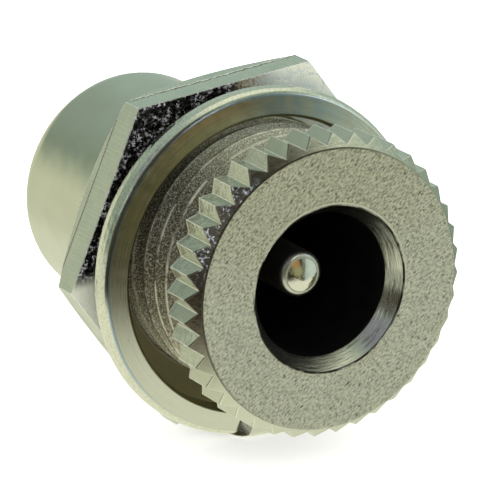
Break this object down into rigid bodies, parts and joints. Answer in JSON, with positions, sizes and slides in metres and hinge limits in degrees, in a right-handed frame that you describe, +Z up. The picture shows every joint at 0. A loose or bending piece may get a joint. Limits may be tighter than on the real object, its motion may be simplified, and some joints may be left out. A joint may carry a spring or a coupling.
{
  "type": "dc barrel jack",
  "caption": "Panel-mount DC barrel socket: knurled nickel-plated head on a threaded neck, centre pin, split lock washer, thin hexagon nut and rear solder lugs.",
  "frame": {"origin": "on the socket's axis, in the plane where the back of the head bears on the panel", "axes": "+Y along the axis towards the solder lugs, so plugs enter from -Y; +Z up as in the picture, +X to the right seen from the front"},
  "size_m": [0.0172, 0.0236, 0.0164],
  "materials": {
    "shell_nickel": "nickel plate, turned and knurled",
    "nut_nickel": "nickel plate, satin flats",
    "washer_nickel": "nickel plated spring steel, brushed faces",
    "liner_black": "moulded black plastic",
    "base_black": "moulded black plastic",
    "pin_nickel": "polished nickel plate",
    "lug_tin": "tinned brass",
    "spring_bronze": "phosphor bronze, tinned at the lug",
    "contact_brass": "tinned brass"
  },
  "bodies": {
    "root": {"shell": "shell_nickel", "hex_nut": "nut_nickel", "lock_washer": "washer_nickel", "liner": "liner_black", "base": "base_black", "centre_pin": "pin_nickel", "pin_lug": "lug_tin", "sleeve_spring": "spring_bronze", "switch_contact": "contact_brass"}
  },
  "joints": []
}
